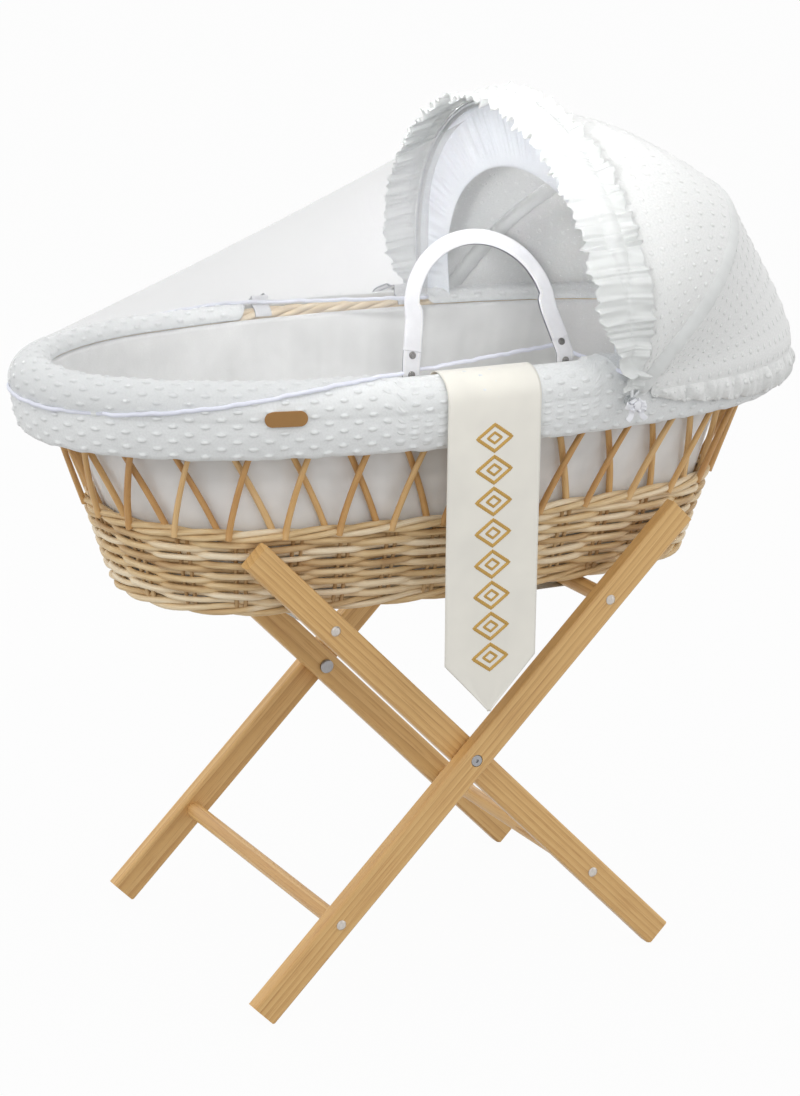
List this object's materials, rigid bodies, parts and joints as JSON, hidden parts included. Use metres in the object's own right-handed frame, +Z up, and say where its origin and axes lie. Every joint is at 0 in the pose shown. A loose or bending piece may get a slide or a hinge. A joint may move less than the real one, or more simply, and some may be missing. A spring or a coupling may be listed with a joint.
{
  "type": "bassinet on stand",
  "caption": "Woven willow moses basket with a padded skirt, liner, folding hood, mosquito net and two handles, resting on a folding X stand of pine.",
  "frame": {"origin": "on the floor, under the middle of the basket's rim", "axes": "+X towards the head end, where the hood is; +Y towards the back, -Y being the side with the sash and badge; +Z up"},
  "size_m": [0.9093, 0.5054, 0.9455],
  "materials": {
    "pine": "clear honey lacquer, long straight grain with a few small knots",
    "screw_metal": "plain domed heads, copper tinted",
    "bolt_metal": "dull grey",
    "washer_plastic": "smooth",
    "webbing": "coarse flat cotton weave",
    "wicker": "peeled willow, woven, cream to tan from rod to rod",
    "willow_rod": "peeled willow, honey, smooth",
    "cotton": "plain cotton with soft gathers",
    "mattress_cover": "plain cotton",
    "dotted_plush": "short pile with rows of raised oval dots",
    "ivory_satin": "soft satin sheen",
    "net": "fine sheer mesh",
    "brown_leather": "smooth, bare",
    "white_leather": "smooth, stitched along its edges, grey cut edge",
    "stud_metal": "domed, polished",
    "hoop_wire": "plain wire"
  },
  "bodies": {
    "outer_frame": {"outer_leg_front": "pine", "outer_leg_back": "pine", "outer_upper_rail": "pine", "outer_lower_rail": "pine", "outer_rail_screws": "screw_metal", "pivot_bolts": "bolt_metal", "pivot_washers": "washer_plastic", "pivot_nuts": "bolt_metal", "support_straps": "webbing"},
    "inner_frame": {"inner_leg_front": "pine", "inner_leg_back": "pine", "inner_upper_rail": "pine", "inner_lower_rail": "pine", "inner_rail_screws": "screw_metal"},
    "basket": {"basket_base": "wicker", "lower_wale": "wicker", "upper_wale": "wicker", "woven_band": "wicker", "stakes_outer": "willow_rod", "stakes_inner": "willow_rod", "rim_border": "wicker", "liner": "cotton", "mattress": "mattress_cover", "skirt": "dotted_plush", "leather_badge": "brown_leather", "sash": "ivory_satin", "handle_tabs": "white_leather", "tab_snaps": "stud_metal", "hood_pivot_pins": "hoop_wire", "hood_ties": "ivory_satin", "hood_back_panel": "dotted_plush"},
    "hood_rear": {"hood_rear_hoop": "hoop_wire", "hood_rear_binding": "ivory_satin", "hood_canopy": "dotted_plush"},
    "hood_front": {"hood_front_hoop": "hoop_wire", "hood_ruffle": "ivory_satin", "mosquito_net": "net"},
    "front_straps": {"handle_front_straps": "white_leather", "handle_front_snaps": "stud_metal"},
    "front_grip": {"handle_front_grip": "white_leather"},
    "back_straps": {"handle_back_straps": "white_leather", "handle_back_snaps": "stud_metal"},
    "back_grip": {"handle_back_grip": "white_leather"}
  },
  "joints": [
    {"name": "basket_lift", "type": "slide", "parent": "outer_frame", "child": "basket", "axis": [0, 0, 1], "range_m": [0, 0.82], "deforming": ["support_straps"]},
    {"name": "stand_fold", "type": "hinge", "parent": "outer_frame", "child": "inner_frame", "pos_m": [-0.022, 0, 0.2567], "axis": [0, 1, 0], "range_deg": [0, 82], "deforming": ["support_straps"]},
    {"name": "hood_rear_hoop", "type": "hinge", "parent": "basket", "child": "hood_rear", "pos_m": [0.134, 0, 0.6405], "axis": [0, 1, 0], "range_deg": [0, 30.5], "deforming": ["hood_back_panel", "hood_canopy"]},
    {"name": "hood_front_hoop", "type": "hinge", "parent": "hood_rear", "child": "hood_front", "pos_m": [0.134, 0, 0.6405], "axis": [0, 1, 0], "range_deg": [0, 25.5], "deforming": ["mosquito_net", "hood_canopy"]},
    {"name": "front_handle_swing", "type": "hinge", "parent": "basket", "child": "front_straps", "pos_m": [-0.0185, -0.20306, 0.6915], "axis": [1, 0, 0], "range_deg": [0, 134]},
    {"name": "front_grip_bend", "type": "hinge", "parent": "front_straps", "child": "front_grip", "pos_m": [-0.0185, -0.18888, 0.72944], "axis": [1, 0, 0], "range_deg": [0, 66.5]},
    {"name": "back_handle_swing", "type": "hinge", "parent": "basket", "child": "back_straps", "pos_m": [0, 0.20306, 0.6915], "axis": [1, 0, 0], "range_deg": [0, 134]},
    {"name": "back_grip_bend", "type": "hinge", "parent": "back_straps", "child": "back_grip", "pos_m": [0, 0.2402, 0.67535], "axis": [1, 0, 0], "range_deg": [0, 66.5]}
  ],
  "couplings": [
    {"joint": "stand_fold", "follows": "basket_lift", "rad_per_m": 1.7453},
    {"joint": "hood_front_hoop", "follows": "hood_rear_hoop", "ratio": 0.83607},
    {"joint": "front_grip_bend", "follows": "front_handle_swing", "ratio": 0.49627},
    {"joint": "back_grip_bend", "follows": "back_handle_swing", "ratio": 0.49627}
  ]
}
